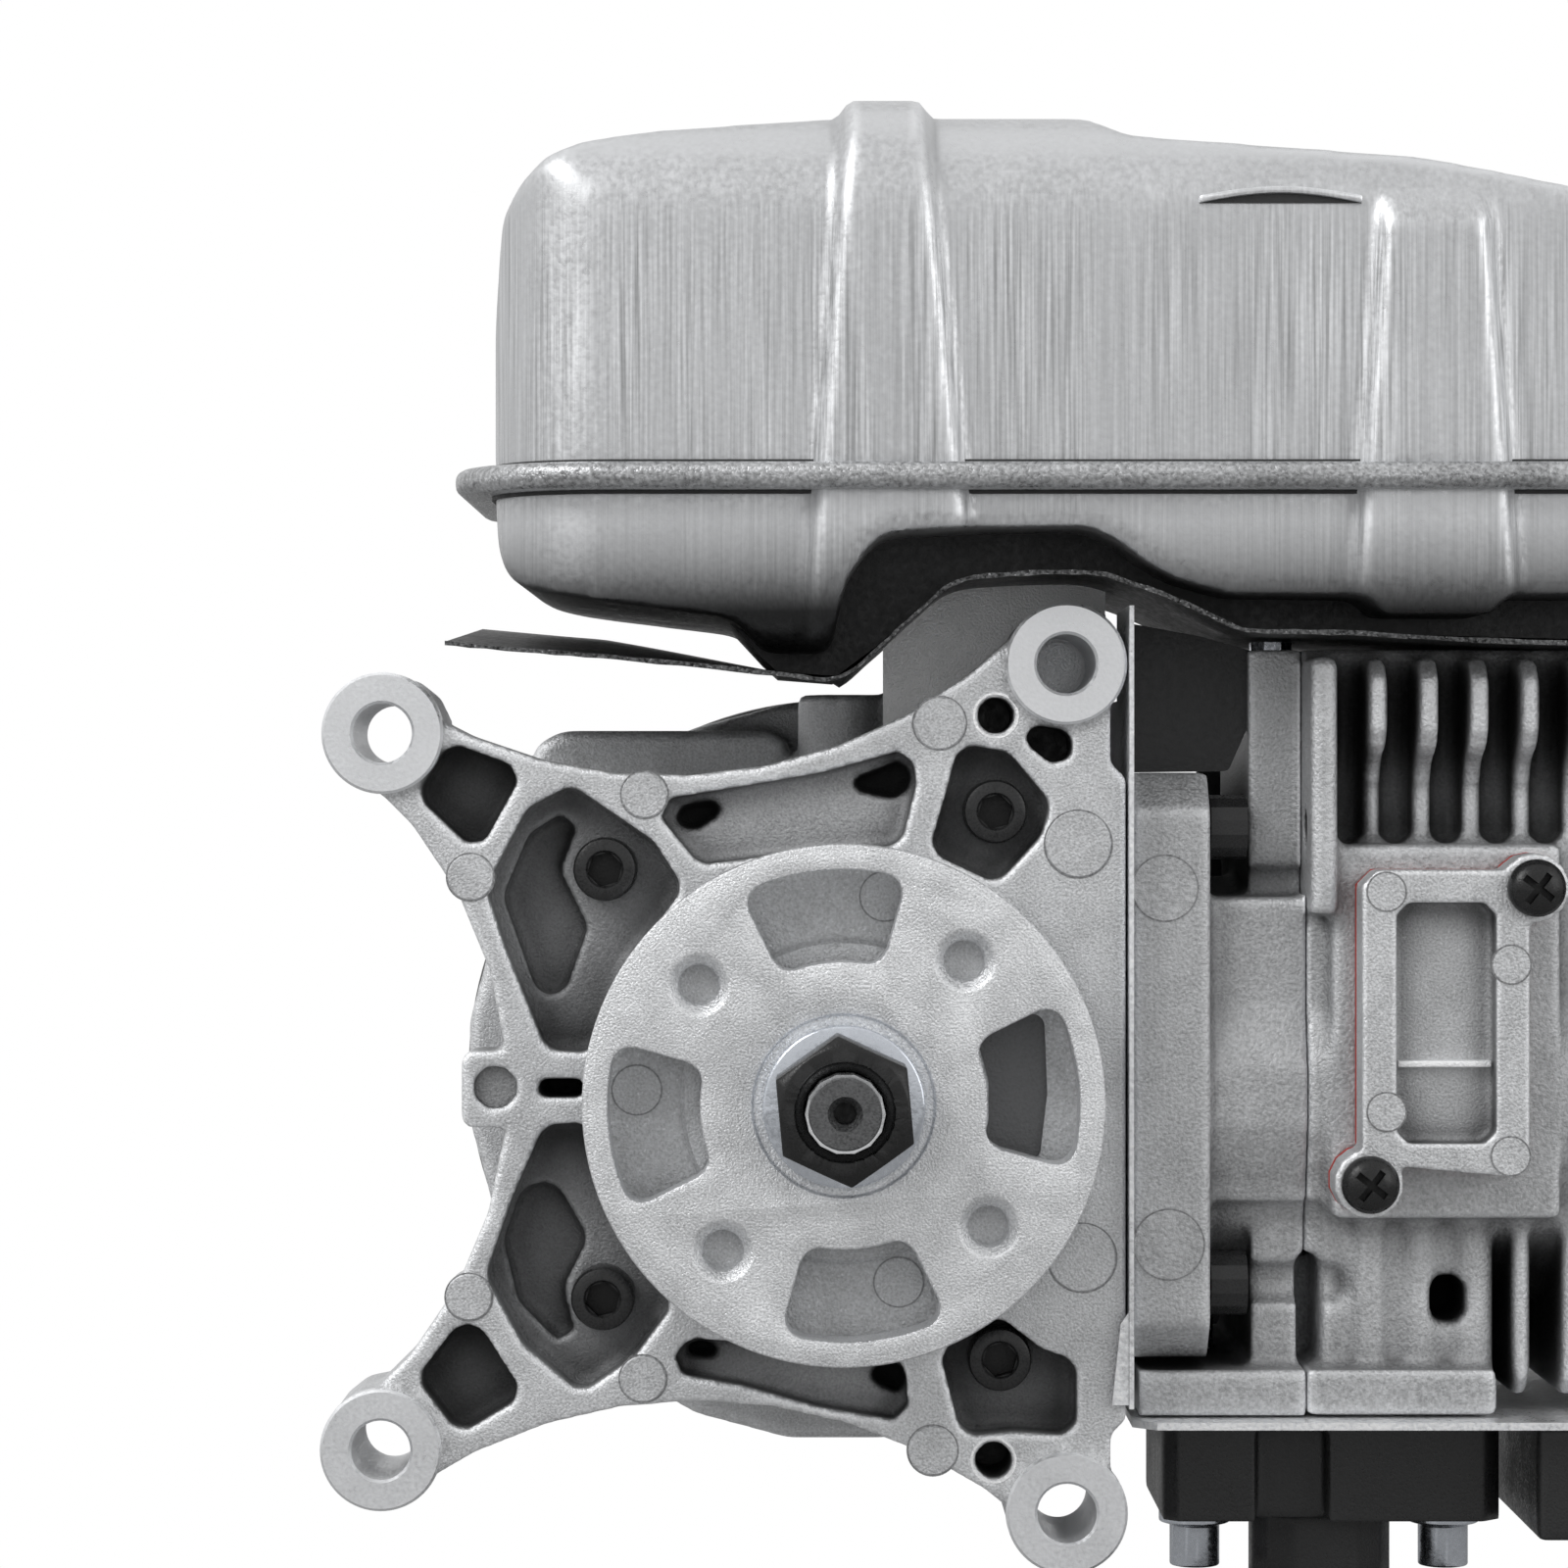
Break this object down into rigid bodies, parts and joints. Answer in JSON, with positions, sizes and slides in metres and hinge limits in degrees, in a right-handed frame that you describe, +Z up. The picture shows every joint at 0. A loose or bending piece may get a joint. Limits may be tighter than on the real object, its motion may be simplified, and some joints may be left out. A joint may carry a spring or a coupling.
{
  "type": "small gasoline engine",
  "caption": "Air-cooled two-stroke engine with a four-armed mounting face, drive flange, box silencer on top, carburettor below and recoil starter behind.",
  "frame": {"origin": "on the crank's axis, in the plane of the four mounting pads' faces", "axes": "+Z up with the silencer on top, +X along the cylinder away from the crank, -Y along the crank out of the drive end"},
  "size_m": [0.2348, 0.1615, 0.271],
  "materials": {
    "cast_aluminium": "die-cast, fine matt grain",
    "machined_aluminium": "turned, satin",
    "sheet_aluminium": "rolled sheet",
    "drawn_steel": "deep-drawn, vertical draw marks",
    "scorched_steel": "nearly black sheet",
    "bright_steel": "ground steel",
    "zinc_plated_steel": "bright zinc",
    "black_oxide_steel": "black oxide",
    "black_plastic": "moulded, fine texture",
    "rubber_black": "matt",
    "ceramic_white": "glazed",
    "case_gasket": "fibre sheet",
    "transfer_gasket": "red sealing sheet",
    "filter_foam": "open-cell foam",
    "rope_white": "braided cord"
  },
  "bodies": {
    "root": {"front_case": "cast_aluminium", "rear_case": "cast_aluminium", "case_gasket": "case_gasket", "front_bearing": "bright_steel", "rear_bearing": "bright_steel", "front_seal": "rubber_black", "rear_seal": "rubber_black", "case_screw_1": "black_oxide_steel", "case_screw_2": "black_oxide_steel", "case_screw_3": "black_oxide_steel", "case_screw_4": "black_oxide_steel", "cylinder": "cast_aluminium", "base_plate": "sheet_aluminium", "transfer_cover": "cast_aluminium", "transfer_gasket": "transfer_gasket", "transfer_screw_1": "black_oxide_steel", "transfer_screw_2": "black_oxide_steel", "cylinder_screw_1": "black_oxide_steel", "cylinder_screw_2": "black_oxide_steel", "cylinder_screw_3": "black_oxide_steel", "cylinder_screw_4": "black_oxide_steel", "spark_plug": "ceramic_white", "cylinder_shroud": "black_plastic", "muffler_upper_shell": "drawn_steel", "muffler_lower_shell": "drawn_steel", "heat_shield": "scorched_steel", "muffler_bolt_1": "zinc_plated_steel", "muffler_bolt_2": "zinc_plated_steel", "intake_plate": "sheet_aluminium", "insulator": "black_plastic", "intake_bolt_1": "zinc_plated_steel", "intake_bolt_2": "zinc_plated_steel", "carburettor": "cast_aluminium", "air_filter_base": "black_plastic", "air_filter_element": "filter_foam", "air_filter_cover": "black_plastic", "starter_housing": "cast_aluminium", "starter_screw_1": "black_oxide_steel", "starter_screw_2": "black_oxide_steel", "starter_screw_3": "black_oxide_steel", "ignition_coil": "black_plastic", "recoil_spring": "bright_steel"},
    "crank": {"crank_front_half": "bright_steel", "crank_rear_half": "bright_steel", "drive_flange": "machined_aluminium", "flange_nut": "black_oxide_steel", "flywheel": "cast_aluminium", "flywheel_nut": "zinc_plated_steel"},
    "crankpin": {"crankpin": "bright_steel"},
    "piston": {"connecting_rod": "bright_steel", "piston": "cast_aluminium", "piston_ring": "bright_steel", "wrist_pin": "bright_steel"},
    "throttle": {"throttle_shaft": "bright_steel", "throttle_plate": "machined_aluminium"},
    "choke": {"choke_lever": "black_plastic"},
    "pulley": {"starter_pulley": "black_plastic", "starter_rope_coil": "rope_white"},
    "handle": {"starter_handle": "rubber_black"}
  },
  "joints": [
    {"name": "crank_spin", "type": "hinge", "parent": "root", "child": "crank", "pos_m": [0, 0, 0], "axis": [0, 1, 0], "continuous": true},
    {"name": "crankpin_turn", "type": "hinge", "parent": "crank", "child": "crankpin", "pos_m": [0.00875, 0.034, 0], "axis": [0, 1, 0], "continuous": true},
    {"name": "piston_turn", "type": "hinge", "parent": "crankpin", "child": "piston", "pos_m": [0.0175, 0.034, 0], "axis": [0, 1, 0], "continuous": true},
    {"name": "throttle_turn", "type": "hinge", "parent": "root", "child": "throttle", "pos_m": [0.0656, 0.034, -0.0839], "axis": [1, 0, 0], "range_deg": [0, 75], "stiffness_Nm_per_rad": 0.02, "springref_deg": -28.65},
    {"name": "choke_turn", "type": "hinge", "parent": "root", "child": "choke", "pos_m": [0.0656, 0.034, -0.0949], "axis": [1, 0, 0], "range_deg": [-45, 0]},
    {"name": "pulley_spin", "type": "hinge", "parent": "root", "child": "pulley", "pos_m": [0, 0.106, 0], "axis": [0, 1, 0], "range_deg": [-1400, 0]},
    {"name": "starter_pull", "type": "slide", "parent": "root", "child": "handle", "axis": [1, 0, 0], "range_m": [0, 0.55], "stiffness_N_per_m": 4, "springref_m": -1.2}
  ],
  "couplings": [
    {"joint": "crankpin_turn", "follows": "crank_spin", "ratio": -2},
    {"joint": "piston_turn", "follows": "crank_spin", "ratio": 1},
    {"joint": "pulley_spin", "follows": "starter_pull", "rad_per_m": -41.667}
  ]
}
